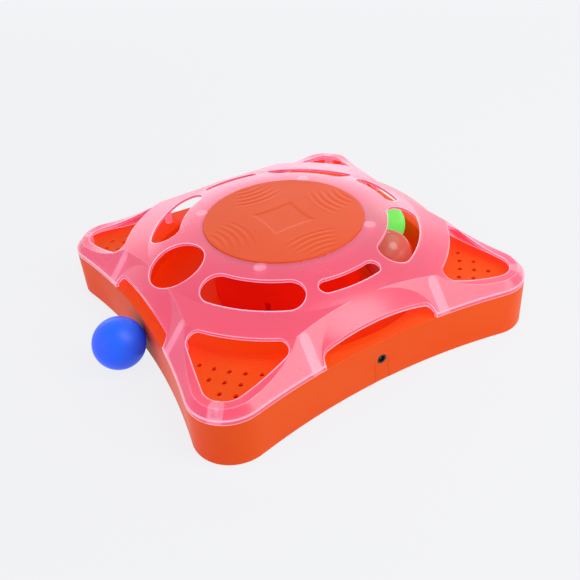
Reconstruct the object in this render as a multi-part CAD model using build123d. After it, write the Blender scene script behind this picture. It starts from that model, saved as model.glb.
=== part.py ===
from build123d import *
import math
import os

# Electronic cat toy: a square tray with a round ball track, a pierced dome over it, and a
# motor under the middle drum whose sweeper pushes play balls round the track.
# Millimetres, +Z up, origin at the centre of the toy on the surface it stands on.

# Plan outline, a square whose sides bow inwards
half_size = 152.5
corner_radius = 31.4
side_bow = 13.3

# Tray
wall = 2.5
wall_lift = 0.8
deck_top = 40.0
deck_thickness = 2.5
track_margin = 12.2
track_floor = 16.0
floor_thickness = 2.5
track_flange = 7.5
track_edge_round = 1.6

# Perforated corner decks
perforation_radius = 2.0
perforation_ring_gap = 9.7
perforation_row_step = 11.7
perforation_pitch = 12.3
perforation_counts = (6, 4, 2)

# Dome cover
cover_thickness = 2.6
lip_height = 3.6
lip_ledge = 1.2
skirt_angle = 52.0
skirt_rise = 28.0
ridge_radius_shares = (-0.119, 0.178, 0.436, 0.846, 1.2)
ridge_height_shares = (0.688, 0.569, 0.296, 0.166, 0.127)
dome_arc_radius = 105.0
dome_crest = 82.1
kidney_shares = (0.346, 0.806)
kidney_half_angle = 23.5
slot_shares = (0.439, 0.659)
slot_half_angle = 15.7
ball_hole_clearance = 2.6
notch_half_width = 51.4
notch_inset = 4.9
notch_round = 6.5
triangle_ring_gap = 13.5
triangle_tip_inset = 8.6
triangle_side_inset = 25.0
triangle_tip_round = 17.1
triangle_corner_round = 7.0
leg_ring_gap = 13.3
leg_spread_angle = 20.1
leg_radius = 3.6
ring_boss_gap = 5.3
ring_boss_radius = 4.5
ring_boss_drop = 6.0
tower_inset = 8.26
tower_radius = 4.8

# Centre disc
disc_overhang = 3.2
disc_proud = 1.1
disc_thickness = 3.0
disc_edge_round = 0.8
disc_seat_width = 7.2
disc_seat_thickness = 2.5
clip_half_angle = 9.0
clip_leg_thickness = 2.2
clip_barb = 1.2
clip_barb_height = 1.8
relief_height = 0.5
relief_width = 1.4
relief_pitch = 5.2
relief_first_radius = 17.0
relief_count = 5
relief_centre_gap = 4.8
emblem_half_width = 20.0
emblem_side_bow = 4.5
emblem_groove = 1.6

# Drum and sweeper
drum_radius = 66.0
drum_wall = 2.5
drum_headroom = 11.1
drum_top_thickness = 2.5
drum_edge_round = 4.0
drum_floor_gap = 0.8
drum_gear_gap = 5.0
drum_slot_width = 5.0
drum_slot_top = 40.0
drum_hub_radius = 9.0
paddle_angle = 14.5
paddle_thickness = 3.0
paddle_rise = 2.0
paddle_top = 50.0
paddle_tip_gap = 3.0
paddle_flange_width = 22.0
paddle_flange_thickness = 2.5
paddle_flange_margin = 3.0

# Gear train
gear_module = 1.0
drive_teeth = 48
idler_small_teeth = 12
idler_large_teeth = 36
pinion_teeth = 12
gear_width = 6.0
pressure_angle = 20.0
addendum_share = 0.8
dedendum_share = 1.05
gear_backlash = 0.24
motor_bearing = 130.0
gear_collar = 0.5
gear_level_gap = 4.2

# Gearbox plate, spindle and posts
gearbox_thickness = 2.5
post_radius = 4.5
post_bearings = (75.0, 180.0, 300.0)
plate_pad_radius = 7.5
plate_drum_gap = 6.0
spindle_radius = 3.0
spindle_boss_radius = 8.0
spindle_boss_height = 14.0
spindle_collar_radius = 5.0
spindle_collar_height = 2.5
spindle_over_drum = 3.0
washer_radius = 7.0
washer_thickness = 0.7
clip_ring_radius = 5.5
clip_ring_thickness = 1.0
clip_groove_depth = 0.5
gear_post_radius = 2.0
gear_post_head_radius = 3.4
gear_post_head = 1.2

# Motor
motor_radius = 12.0
motor_length = 22.0
motor_cap_height = 2.4
motor_boss_radius = 3.1
motor_boss_height = 1.8
motor_shaft_radius = 1.0
motor_shaft_depth = 14.0
terminal_width = 1.8
terminal_length = 1.3
motor_well_gap = 1.0

# Balls
ball_section_share = 0.3771
green_ball_wall_gap = 1.0
green_ball_bearing = -1.0
pink_ball_drum_gap = 1.4
pink_ball_bearing = -30.3

# Bottom plate, feet and screws
plate_lift = 1.0
plate_thickness = 2.2
plate_pad_rise = 2.0
foot_radius = 6.0
foot_sink = 1.0
foot_ring_gap = 19.5
foot_spread_angle = 17.0
boss_radius = 3.8
boss_ring_gap = 8.5
boss_spread_angle = 26.0
screw_radius = 1.25
screw_head_radius = 3.0
screw_head_height = 1.8
screw_length = 12.0
short_screw_length = 7.0
cover_screw_pad = 3.0

# Power socket in the middle of the front right wall
jack_height = 22.2
jack_radius = 4.0
jack_bore_radius = 2.75
jack_bore_depth = 5.6
jack_pin_radius = 1.0
jack_pin_length = 4.6
jack_body_width = 9.4
jack_body_height = 10.4
jack_track_gap = 0.7
tongue_half_width = 6.4

# Battery bay in the back corner
cell_radius = 7.25
cell_length = 49.2
cell_nub_radius = 2.7
cell_nub_length = 1.3
contact_depth = 3.0
contact_plate = 0.4
contact_half_width = 5.0
bay_wall = 1.6
bay_gap = 0.5
bay_track_gap = 1.0
door_thickness = 1.8
door_tab_radius = 6.0
door_cup_height = 3.2
door_boss_rise = 8.0

# Circuit board in the right corner, with the slide switch under it
board_track_gap = 0.5
board_length = 40.0
board_width = 46.0
board_thickness = 1.6
board_lift = 8.2
standoff_radius = 2.6
standoff_inset = 4.0
chip_size = 9.0
chip_height = 1.8
capacitor_radius = 3.2
capacitor_height = 8.0
header_length = 16.0
header_depth = 5.0
header_height = 4.0
part_spread = 9.0
switch_length = 14.0
switch_width = 7.0
slider_length = 4.0
slider_width = 3.0
slider_travel = 4.0
slider_floor_gap = 0.4
slider_plate_length = 6.0
slider_plate_thickness = 1.4

# Leads
lead_radius = 0.7
lead_pair_gap = 3.2
lead_bend = 4.0

# Clearances
fit_gap = 0.25
run_gap = 0.3
shaft_gap = 0.05
overrun = 5.0

# Heights and places worked out from the sizes above
deck_under = deck_top - deck_thickness
floor_under = track_floor - floor_thickness
side_mid = half_size - side_bow
track_radius = side_mid - track_margin
track_outer = track_radius + wall
flange_radius = track_radius + track_flange
corner_centre = half_size - corner_radius
corner_reach = corner_centre * math.sqrt(2) + corner_radius
side_radius = (
    corner_centre**2 + (side_mid - corner_centre)**2 - corner_radius**2
) / (2 * (half_size - side_mid))
plate_top = plate_lift + plate_thickness
tongue_thickness = wall + 2 * fit_gap
boss_bottom = plate_top + plate_pad_rise
disc_radius = drum_radius + disc_overhang
dome_centre_height = dome_crest - dome_arc_radius
lip_top = deck_top + lip_height
triangle_ring_radius = track_radius + triangle_ring_gap
triangle_tip = half_size - triangle_tip_inset
triangle_side_across = half_size - triangle_side_inset
dome_run = track_radius - disc_radius
kidney_inner, kidney_outer = [disc_radius + share * dome_run for share in kidney_shares]
slot_inner, slot_outer = [disc_radius + share * dome_run for share in slot_shares]
disc_top = dome_crest + disc_proud
disc_seat = disc_top - disc_thickness
drum_bottom = track_floor + drum_floor_gap
drum_top = dome_crest - drum_headroom
drive_gear_top = drum_top - drum_top_thickness - drum_gear_gap
drive_gear_bottom = drive_gear_top - gear_width
large_gear_top = drive_gear_bottom - gear_level_gap
large_gear_bottom = large_gear_top - gear_width
gearbox_top = large_gear_bottom - gear_collar - run_gap
gearbox_under = gearbox_top - gearbox_thickness
post_distance = drum_radius - drum_wall - plate_drum_gap - plate_pad_radius
idler_distance = gear_module * (drive_teeth + idler_small_teeth) / 2
motor_distance = gear_module * (idler_large_teeth + pinion_teeth) / 2
motor_x = idler_distance + motor_distance * math.cos(math.radians(motor_bearing))
motor_y = motor_distance * math.sin(math.radians(motor_bearing))
motor_bottom = gearbox_under - motor_length
terminal_level = motor_bottom - motor_cap_height - terminal_length
small_gear_top = drive_gear_top + gear_collar
channel_section = (track_radius - drum_radius) * (dome_crest - track_floor)
ball_radius = math.sqrt(ball_section_share * channel_section / math.pi)
ball_hole_radius = ball_radius + ball_hole_clearance
ball_hole_distance = track_radius - ball_hole_radius
diagonal = 45.0
quarter_turn = 90.0
corner_bearings = [diagonal + quarter_turn * i for i in range(4)]


def polar(distance, bearing):
    angle = math.radians(bearing)
    return distance * math.cos(angle), distance * math.sin(angle)


def turned(shape, bearing):
    return Rotation(0, 0, bearing) * shape


def prism(face, bottom, top):
    return extrude(Pos(0, 0, bottom) * face, amount=top - bottom, dir=(0, 0, 1))


def rod(place, bottom, top, radius):
    standing = (Align.CENTER, Align.CENTER, Align.MIN)
    return Pos(place[0], place[1], bottom) * Cylinder(radius, top - bottom, align=standing)


def slab(place, bottom, top, length, width):
    standing = (Align.CENTER, Align.CENTER, Align.MIN)
    return Pos(place[0], place[1], bottom) * Box(length, width, top - bottom, align=standing)


def spun(*lines):
    return revolve(Plane.XZ * make_face(Curve() + list(lines)), Axis.Z)


def group(solids):
    return Compound([solid for shape in solids for solid in shape.solids()])


def save(name, shape):
    os.makedirs("parts", exist_ok=True)
    export_step(shape, f"parts/{name}.step")


def outline(inset):
    """Plan outline of the toy, moved inwards all round by inset."""
    radius = corner_radius - inset
    reach = side_radius + corner_radius
    rise = side_mid + side_radius - corner_centre
    start = (corner_centre - radius * corner_centre / reach, -(corner_centre + radius * rise / reach))
    far = corner_centre + radius / math.sqrt(2)
    side = ThreePointArc((-start[0], start[1]), (0, inset - side_mid), start)
    corner = ThreePointArc(start, (far, -far), (-start[1], -start[0]))
    quarters = [turned(edge, quarter_turn * i) for i in range(4) for edge in (side, corner)]
    return make_face(Curve() + quarters)


def screw(length):
    """Pan-head screw whose seat is at the origin, with its point towards +Z."""
    head = Pos(0, 0, -screw_head_height) * rod((0, 0), 0, screw_head_height, screw_head_radius)
    head = fillet(head.edges().group_by(Axis.Z)[0], screw_head_height / 3)
    point = Pos(0, 0, length) * Cone(
        screw_radius, screw_radius / 3, screw_radius, align=(Align.CENTER, Align.CENTER, Align.MIN)
    )
    return head + rod((0, 0), 0, length, screw_radius) + point


boss_places = [
    polar(track_outer + boss_ring_gap, bearing + side * boss_spread_angle)
    for bearing in corner_bearings
    for side in (-1, 1)
]
foot_places = [
    polar(track_outer + foot_ring_gap, bearing + side * foot_spread_angle)
    for bearing in corner_bearings
    for side in (-1, 1)
]
tower_places = [polar(corner_reach - tower_inset, bearing) for bearing in corner_bearings]
post_places = [polar(post_distance, bearing) for bearing in post_bearings]
screw_bore = screw_radius + shaft_gap
tip_room = 2 * screw_radius


# Tray: outer wall and perforated corner decks in one moulding
def tongue_slot(gap):
    """Opening in the wall below the socket, which the bottom plate's tongue fills."""
    width = 2 * (tongue_half_width + gap)
    return slab((0, -side_mid), wall_lift - overrun, jack_height, width, 4 * wall)


def jack_passage(radius):
    cut = Cylinder(radius, 4 * wall, rotation=(quarter_turn, 0, 0))
    return Pos(0, -side_mid, jack_height) * cut


def base_housing():
    tray = prism(outline(0), wall_lift, deck_top)
    tray -= prism(outline(wall), wall_lift - overrun, deck_under)
    tray -= rod((0, 0), deck_under - overrun, deck_top + overrun, flange_radius)
    for place in boss_places:
        tray += rod(place, boss_bottom, deck_under, boss_radius)
        tray -= rod(place, boss_bottom - overrun, boss_bottom + screw_length + tip_room, screw_bore)
    for place in tower_places:
        tray += rod(place, deck_under - cover_screw_pad, deck_under, tower_radius)
        tray -= rod(place, floor_under, deck_top + overrun, screw_bore)
    tray -= tongue_slot(fit_gap)
    tray -= jack_passage(jack_radius + fit_gap)
    holes = []
    for row, count in enumerate(perforation_counts):
        distance = triangle_ring_radius + perforation_ring_gap + row * perforation_row_step
        step = math.degrees(perforation_pitch / distance)
        for corner in corner_bearings:
            for i in range(count):
                place = polar(distance, corner + step * (i - (count - 1) / 2))
                holes.append(rod(place, deck_under - overrun, deck_top + overrun, perforation_radius))
    return tray - holes


# Track pan: the ball channel, whose flange fills the decks' opening, with the gearbox posts
def track_pan():
    pan = rod((0, 0), floor_under, deck_under, track_outer)
    pan += rod((0, 0), deck_under, deck_top, flange_radius)
    pan -= rod((0, 0), track_floor, deck_top, track_radius)
    rim = pan.edges().group_by(Axis.Z)[-1].sort_by(SortBy.RADIUS)[0]
    pan = fillet(rim, track_edge_round)
    for place in post_places:
        pan += rod(place, track_floor, gearbox_under, post_radius)
        pan -= rod(place, gearbox_under - short_screw_length - tip_room, gearbox_top, screw_bore)
    pan += rod((0, 0), track_floor, track_floor + spindle_boss_height, spindle_boss_radius)
    pan -= rod((0, 0), track_floor, gearbox_top, spindle_radius)
    well_radius = motor_radius + motor_well_gap
    return pan - rod((motor_x, motor_y), floor_under - overrun, track_floor + overrun, well_radius)


save("base_housing", base_housing())
save("track_pan", track_pan())


# Dome cover: a lip on the wall, four corner ridges and a dome of revolution, hollowed
def dome_body(shrink):
    radius = dome_arc_radius - shrink

    def point(distance):
        rise = math.sqrt(radius**2 - (distance - disc_radius)**2)
        return distance, dome_centre_height + rise

    floor = deck_top - shrink
    foot = disc_radius + math.sqrt(radius**2 - (floor - dome_centre_height)**2)
    crest = point(disc_radius)
    arc = ThreePointArc(crest, point((disc_radius + foot) / 2), (foot, floor))
    return spun(Polyline((foot, floor), (0, floor), (0, crest[1]), crest), arc)


def ridge_body(drop):
    """Spun form that tops the corner ridges: level by the dome, hollow towards the tips."""
    floor = deck_top - overrun
    crest, shoulder, hollow, tip, far = [
        (track_radius + across * (corner_reach - track_radius),
         lip_top + up * (dome_crest - lip_top) - drop)
        for across, up in zip(ridge_radius_shares, ridge_height_shares)
    ]
    rest = Polyline(tip, far, (far[0], floor), (0, floor), (0, crest[1]), crest, shoulder)
    return spun(rest, ThreePointArc(shoulder, hollow, tip))


def skirt_body(inset):
    run = skirt_rise / math.tan(math.radians(skirt_angle))
    low = Pos(0, 0, lip_top) * outline(inset)
    high = Pos(0, 0, lip_top + skirt_rise) * outline(inset + run)
    return loft([low, high], ruled=True)


def curved_slot(inner, outer, half_angle, bearing):
    middle = (inner + outer) / 2
    half_width = (outer - inner) / 2
    half_sweep = half_angle - math.degrees(math.asin(half_width / middle))
    arc = CenterArc((0, 0), middle, bearing - half_sweep, 2 * half_sweep)
    return prism(SlotArc(arc, 2 * half_width), deck_top, dome_crest + overrun)


def side_notch():
    depth = notch_inset + side_bow + overrun
    face = Rectangle(2 * notch_half_width, depth, align=(Align.CENTER, Align.MAX))
    face = fillet(face.vertices().group_by(Axis.Y)[-1], notch_round)
    return prism(Pos(0, notch_inset - side_mid) * face, deck_top - overrun, dome_crest)


def corner_triangle():
    along = math.sqrt(triangle_ring_radius**2 - triangle_side_across**2)
    tip = (triangle_tip, triangle_tip)
    face = make_face(Polyline(tip, (along, triangle_side_across), (triangle_side_across, along), tip))
    face -= Circle(triangle_ring_radius)
    corners = face.vertices().sort_by(Axis.X)
    tips = [corner for corner in corners if abs(corner.X - triangle_tip) < fit_gap
            and abs(corner.Y - triangle_tip) < fit_gap]
    face = fillet(tips, triangle_tip_round)
    inner = [corner for corner in face.vertices()
             if math.hypot(corner.X, corner.Y) < triangle_ring_radius + fit_gap]
    return prism(fillet(inner, triangle_corner_round), deck_top - overrun, dome_crest)


def top_cover():
    normal_run = cover_thickness / math.sin(math.radians(skirt_angle))
    outer = prism(outline(0), deck_top, lip_top)
    outer += skirt_body(lip_ledge) & ridge_body(0)
    outer += dome_body(0) & prism(outline(lip_ledge), deck_top, dome_crest + overrun)
    inner = prism(outline(cover_thickness), deck_top - overrun, lip_top)
    inner += skirt_body(lip_ledge + normal_run) & ridge_body(cover_thickness)
    inner += dome_body(cover_thickness) & prism(
        outline(lip_ledge + cover_thickness), deck_top - overrun, dome_crest
    )
    towers = [rod(place, deck_top, dome_crest, tower_radius) for place in tower_places]
    ring_bosses = [
        rod(polar(disc_radius + ring_boss_gap, bearing),
            dome_crest - cover_thickness - ring_boss_drop, dome_crest, ring_boss_radius)
        for bearing in corner_bearings
    ]
    legs = [
        rod(polar(track_radius + leg_ring_gap, bearing + turn), deck_top, dome_crest, leg_radius)
        for bearing in corner_bearings for turn in (-leg_spread_angle, leg_spread_angle)
    ]
    added = [outer & shape for shape in towers + ring_bosses + legs]
    cover = outer - inner
    seat_inner = disc_radius - disc_seat_width
    cover += rod((0, 0), disc_seat - disc_seat_thickness, disc_seat, disc_radius + cover_thickness)
    cover -= rod((0, 0), disc_seat, disc_top + overrun, disc_radius + fit_gap)
    cover -= rod((0, 0), deck_top, disc_top + overrun, seat_inner)
    cuts = [curved_slot(kidney_inner, kidney_outer, kidney_half_angle, bearing)
            for bearing in corner_bearings]
    cuts += [curved_slot(slot_inner, slot_outer, slot_half_angle, quarter_turn * i)
             for i in (-1, 0, 1)]
    cuts += [turned(side_notch(), quarter_turn * i) for i in range(4)]
    cuts += [turned(corner_triangle(), quarter_turn * i) for i in range(4)]
    tilt = math.degrees(math.asin((ball_hole_distance - disc_radius) / dome_arc_radius))
    hole_height = dome_centre_height + dome_arc_radius * math.cos(math.radians(tilt))
    hole = Cylinder(ball_hole_radius, 2 * (overrun + cover_thickness))
    cuts.append(Pos(-ball_hole_distance, 0, hole_height) * Rotation(0, -tilt, 0) * hole)
    cover -= cuts
    cover += added
    for place in tower_places:
        cover -= rod(place, deck_top - overrun, deck_top + short_screw_length, screw_bore)
    return cover


save("top_cover", top_cover())


# Centre disc with its raised arcs, middle emblem and four snap legs
def centre_disc():
    disc = rod((0, 0), disc_seat, disc_top - relief_height, disc_radius)
    disc = fillet(disc.edges().group_by(Axis.Z)[-1], disc_edge_round)
    face = Circle(disc_radius - disc_edge_round - relief_width)
    arcs = []
    for i in range(4):
        centre = Pos(*polar(disc_radius + relief_centre_gap, quarter_turn * i))
        for ring in range(relief_count):
            radius = relief_first_radius + ring * relief_pitch
            arcs.append(centre * (Circle(radius) - Circle(radius - relief_width)))
    bowed = emblem(emblem_half_width)
    ridges = bowed - emblem(emblem_half_width - emblem_groove)
    wide = emblem(emblem_half_width + relief_width)
    raised = [(arc & face) - wide for arc in arcs] + [ridges]
    for sketch in raised:
        disc += prism(sketch, disc_top - relief_height, disc_top)
    inner = disc_radius - disc_seat_width - fit_gap
    barb_top = disc_seat - disc_seat_thickness - run_gap
    leg = spun(Polyline(
        (inner - clip_leg_thickness, disc_seat), (inner, disc_seat), (inner, barb_top),
        (inner + clip_barb, barb_top), (inner, barb_top - clip_barb_height),
        (inner - clip_leg_thickness, barb_top - clip_barb_height),
        (inner - clip_leg_thickness, disc_seat),
    ))
    half_width = inner * math.tan(math.radians(clip_half_angle))
    for i in range(4):
        window = slab((disc_radius, 0), 0, disc_top, disc_radius, 2 * half_width)
        disc += leg & turned(window, quarter_turn * i)
    return disc


def emblem(half_width):
    """Square on its corner-to-corner axes, with sides that bow inwards."""
    points = [polar(half_width, diagonal + quarter_turn * i) for i in range(4)]
    middle = half_width / math.sqrt(2) - emblem_side_bow
    middles = [polar(middle, quarter_turn * (i + 1)) for i in range(4)]
    sides = [ThreePointArc(points[i], middles[i], points[(i + 1) % 4]) for i in range(4)]
    return make_face(Curve() + sides)


save("centre_disc", centre_disc())


# Drum over the gears, with its sweeper blade
def rotor_drum():
    inner = drum_radius - drum_wall
    drum = rod((0, 0), drum_bottom, drum_top, drum_radius)
    drum = fillet(drum.edges().group_by(Axis.Z)[-1], drum_edge_round)
    drum -= rod((0, 0), drum_bottom, drum_top - drum_top_thickness, inner)
    drum += rod((0, 0), drive_gear_bottom, drum_top, drum_hub_radius)
    drum -= rod((0, 0), drive_gear_bottom, drum_top, spindle_radius + shaft_gap)
    notch = slab((drum_radius, 0), drum_bottom - overrun, drum_slot_top, 4 * drum_wall,
                 drum_slot_width)
    for bearing in corner_bearings:
        drum -= turned(notch, bearing)
    for place in paddle_screw_places():
        drum -= turned(place * rod((0, 0), -overrun, short_screw_length, screw_bore), paddle_angle)
    return drum


def paddle_screw_places():
    """Screw seats on the paddle's flange, in the paddle's own direction, points inwards."""
    seat = drum_radius + paddle_flange_thickness
    side = (paddle_flange_width + paddle_thickness) / 4
    middle = (drum_bottom + paddle_rise + paddle_top) / 2
    offset = (paddle_top - drum_bottom - paddle_rise) / 4
    return [
        Pos(seat, side * (-1)**i, middle + (2 * i - 1) * offset) * Rotation(0, -quarter_turn, 0)
        for i in range(2)
    ]


def sweeper_paddle():
    bottom = drum_bottom + paddle_rise
    tip = track_radius - paddle_tip_gap
    middle = ((drum_radius + tip) / 2, 0)
    blade = slab(middle, bottom, paddle_top, tip - drum_radius + 2 * drum_wall, paddle_thickness)
    outer_edges = blade.edges().filter_by(Axis.Y).group_by(Axis.X)[-1]
    blade = fillet(outer_edges, (paddle_top - bottom) / 4)
    seat = drum_radius + paddle_flange_thickness
    flange = slab((seat - drum_wall, 0), bottom + paddle_flange_margin,
                  paddle_top - paddle_flange_margin, 2 * drum_wall, paddle_flange_width)
    flange -= rod((0, 0), drum_bottom, drum_top, drum_radius + shaft_gap)
    paddle = blade - rod((0, 0), drum_bottom, drum_top, drum_radius + shaft_gap) + flange
    for place in paddle_screw_places():
        paddle -= place * rod((0, 0), -overrun, overrun, screw_bore)
    return turned(paddle, paddle_angle)


def paddle_screws():
    return group([turned(place * screw(short_screw_length - tip_room), paddle_angle)
                  for place in paddle_screw_places()])


save("rotor_drum", rotor_drum())
save("sweeper_paddle", sweeper_paddle())
save("paddle_screws", paddle_screws())


# Gears: involute flanks drawn as arcs through three of their points
def gear_outline(teeth, first_tooth):
    pitch = gear_module * teeth / 2
    pressure = math.radians(pressure_angle)
    base = pitch * math.cos(pressure)
    tip = pitch + addendum_share * gear_module
    root = pitch - dedendum_share * gear_module
    half_tooth = (math.pi * gear_module / 2 - gear_backlash) / (2 * pitch)
    at_pitch = math.tan(pressure) - pressure

    def lean(radius):
        roll = math.acos(min(1, base / radius))
        return math.degrees(half_tooth + at_pitch - (math.tan(roll) - roll))

    low = max(base, root)
    radii = (low, (low + tip) / 2, tip)
    step = 360 / teeth
    edges = []
    for i in range(teeth):
        middle = first_tooth + i * step
        rising = [polar(r, middle - lean(r)) for r in radii]
        falling = [polar(r, middle + lean(r)) for r in reversed(radii)]
        foot = polar(root, middle - lean(low))
        end = polar(root, middle + lean(low))
        following = polar(root, middle + step - lean(low))
        edges.append(ThreePointArc(*rising))
        edges.append(Line(rising[-1], falling[0]))
        edges.append(ThreePointArc(*falling))
        if root < base:
            edges.append(Line(foot, rising[0]))
            edges.append(Line(falling[-1], end))
        edges.append(Line(end, following))
    return make_face(Curve() + edges)


def drive_gear():
    gear = prism(gear_outline(drive_teeth, 0), drive_gear_bottom, drive_gear_top)
    return gear - rod((0, 0), drive_gear_bottom, drive_gear_top, drum_hub_radius + shaft_gap)


def compound_gear():
    half_step = 180 / idler_small_teeth
    gear = prism(gear_outline(idler_large_teeth, motor_bearing), large_gear_bottom, large_gear_top)
    gear += prism(gear_outline(idler_small_teeth, half_step), large_gear_top, small_gear_top)
    gear += rod((0, 0), gearbox_top + run_gap, large_gear_bottom, gear_post_radius + 2 * gear_collar)
    gear -= rod((0, 0), gearbox_top, small_gear_top, gear_post_radius + shaft_gap)
    return Pos(idler_distance, 0, 0) * gear


def motor_pinion():
    half_step = 180 / pinion_teeth
    face = gear_outline(pinion_teeth, motor_bearing + 180 + half_step)
    gear = prism(face, large_gear_bottom, large_gear_top)
    gear -= rod((0, 0), large_gear_bottom, large_gear_top, motor_shaft_radius)
    return Pos(motor_x, motor_y, 0) * gear


save("drive_gear", drive_gear())
save("compound_gear", compound_gear())
save("motor_pinion", motor_pinion())


# Spindle, its washer and clip, and the plate that carries the motor
def spindle():
    top = drum_top + spindle_over_drum
    collar_top = drive_gear_bottom - run_gap - washer_thickness
    pin = rod((0, 0), track_floor, top, spindle_radius)
    pin += rod((0, 0), collar_top - spindle_collar_height, collar_top, spindle_collar_radius)
    low = drum_top + run_gap
    high = low + clip_ring_thickness
    groove = rod((0, 0), low, high, spindle_radius + overrun)
    groove -= rod((0, 0), low, high, spindle_radius - clip_groove_depth)
    return chamfer((pin - groove).edges().group_by(Axis.Z)[-1], clip_groove_depth)


def thrust_washer():
    top = drive_gear_bottom - run_gap
    washer = rod((0, 0), top - washer_thickness, top, washer_radius)
    return washer - rod((0, 0), top - washer_thickness, top, spindle_radius + shaft_gap)


def retaining_clip():
    bottom = drum_top + run_gap
    top = bottom + clip_ring_thickness
    bore = spindle_radius - clip_groove_depth
    ring = rod((0, 0), bottom, top, clip_ring_radius) - rod((0, 0), bottom, top, bore)
    return ring - slab((clip_ring_radius, 0), bottom, top, 2 * clip_ring_radius, 2 * bore)


def gearbox_plate():
    pads = [Pos(x, y) * Circle(plate_pad_radius) for x, y in post_places]
    pads.append(Pos(idler_distance, 0) * Circle(plate_pad_radius))
    face = make_hull([edge for pad in pads for edge in pad.edges()])
    plate = prism(face, gearbox_under, gearbox_top)
    holes = [rod(place, gearbox_under, gearbox_top, screw_bore) for place in post_places]
    holes.append(rod((0, 0), gearbox_under, gearbox_top, spindle_radius + shaft_gap))
    holes.append(rod((motor_x, motor_y), gearbox_under, gearbox_top, motor_boss_radius + shaft_gap))
    holes.append(rod((idler_distance, 0), gearbox_under, gearbox_top, gear_post_radius))
    return plate - holes


def gear_post():
    top = small_gear_top + run_gap
    place = (idler_distance, 0)
    return rod(place, gearbox_under, top, gear_post_radius) + rod(
        place, top, top + gear_post_head, gear_post_head_radius
    )


def plate_screws():
    turn_over = Rotation(180, 0, 0)
    return group([
        Pos(x, y, gearbox_top) * turn_over * screw(short_screw_length) for x, y in post_places
    ])


save("spindle", spindle())
save("thrust_washer", thrust_washer())
save("retaining_clip", retaining_clip())
save("gearbox_plate", gearbox_plate())
save("gear_post", gear_post())
save("plate_screws", plate_screws())


# Motor hung under the plate: steel can, end cap with terminals, and the turning shaft
def drive_motor():
    place = (motor_x, motor_y)
    can = rod(place, motor_bottom, gearbox_under, motor_radius)
    can = fillet(can.edges().group_by(Axis.Z)[-1], motor_boss_height / 2)
    can += rod(place, gearbox_under, gearbox_under + motor_boss_height, motor_boss_radius)
    bore = motor_shaft_radius + shaft_gap
    return can - rod(place, gearbox_under - motor_shaft_depth, gearbox_top, bore)


def motor_end_cap():
    place = (motor_x, motor_y)
    cap = rod(place, motor_bottom - motor_cap_height, motor_bottom, motor_radius - wall / 2)
    under = motor_bottom - motor_cap_height
    for side in (-1, 1):
        spot = polar(side * lead_pair_gap / 2, diagonal)
        spot = (motor_x + spot[0], motor_y + spot[1])
        cap += slab(spot, terminal_level, under, terminal_width, terminal_width)
    return cap


def motor_shaft():
    bottom = gearbox_under - motor_shaft_depth + run_gap
    return rod((motor_x, motor_y), bottom, large_gear_top + gear_collar, motor_shaft_radius)


save("drive_motor", drive_motor())
save("motor_end_cap", motor_end_cap())
save("motor_shaft", motor_shaft())


# Bottom plate with screw pads, battery bay and the tongue below the socket
bay_length = cell_length + cell_nub_length + 2 * contact_depth
bay_width = 4 * cell_radius + 2 * bay_gap
bay_start = track_outer + bay_track_gap
bay_middle = bay_start + bay_wall + bay_width / 2
cell_height = plate_top + run_gap + cell_radius
bay_roof = cell_height + cell_radius + bay_gap
door_screw_distance = bay_start - door_tab_radius
door_cup_top = plate_lift + door_cup_height
door_seat = plate_lift + screw_head_height + fit_gap
board_top = board_lift + board_thickness
board_distance = track_outer + board_track_gap + board_length / 2
board_bearing = -diagonal


def standoff_places():
    along = board_length / 2 - standoff_inset
    across = board_width / 2 - standoff_inset
    return [(board_distance + i * along, j * across) for i in (-1, 1) for j in (-1, 1)]


def door_outline(gap):
    """Battery door seen from below, in the bay's own direction: lid and rounded tab."""
    tab_radius = door_tab_radius - gap
    tab_length = bay_middle - door_screw_distance
    lid = Pos(bay_middle, 0) * Rectangle(bay_width - 2 * gap, bay_length - 2 * gap)
    tab = Pos(door_screw_distance + tab_length / 2, 0) * Rectangle(tab_length, 2 * tab_radius)
    return lid + tab + Pos(door_screw_distance, 0) * Circle(tab_radius)


def bottom_plate():
    plate = prism(outline(wall + fit_gap), plate_lift, plate_top)
    tongue = prism(outline(0) - outline(tongue_thickness), plate_lift, jack_height) & tongue_slot(0)
    plate += tongue - jack_passage(jack_radius + fit_gap)
    for place in boss_places:
        plate += rod(place, plate_top, boss_bottom, 2 * screw_head_radius)
        plate -= rod(place, plate_lift - overrun, boss_bottom - screw_head_height / 2,
                     screw_head_radius + fit_gap)
        plate -= rod(place, plate_lift, boss_bottom, screw_bore)
    for place in foot_places:
        plate -= rod(place, plate_lift - overrun, plate_lift + foot_sink, foot_radius)
    bay = slab((bay_middle, 0), plate_top, bay_roof + bay_wall,
               bay_width + 2 * bay_wall, bay_length + 2 * bay_wall)
    bay += rod((door_screw_distance, 0), plate_top, plate_top + door_boss_rise,
               door_tab_radius + bay_wall)
    plate += turned(bay, diagonal)
    hollow = slab((bay_middle, 0), plate_lift - overrun, bay_roof, bay_width, bay_length)
    hollow += prism(door_outline(0), plate_lift - overrun, plate_lift + door_thickness + run_gap)
    boss_roof = plate_top + door_boss_rise - bay_wall
    hollow += rod((door_screw_distance, 0), plate_lift, door_cup_top + run_gap, door_tab_radius)
    hollow += rod((door_screw_distance, 0), plate_lift, boss_roof, screw_radius + run_gap)
    plate -= turned(hollow, diagonal)
    for place in standoff_places():
        plate += turned(rod(place, plate_top, board_lift, standoff_radius), board_bearing)
    window = slab((board_distance, slider_travel / 2), plate_lift - overrun, plate_top,
                  slider_width + 2 * run_gap, slider_length + slider_travel + 2 * run_gap)
    return plate - turned(window, board_bearing)


def rubber_feet():
    pads = [rod(place, 0, plate_lift + foot_sink, foot_radius - shaft_gap) for place in foot_places]
    return group([fillet(pad.edges().group_by(Axis.Z)[0], foot_sink / 2) for pad in pads])


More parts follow.
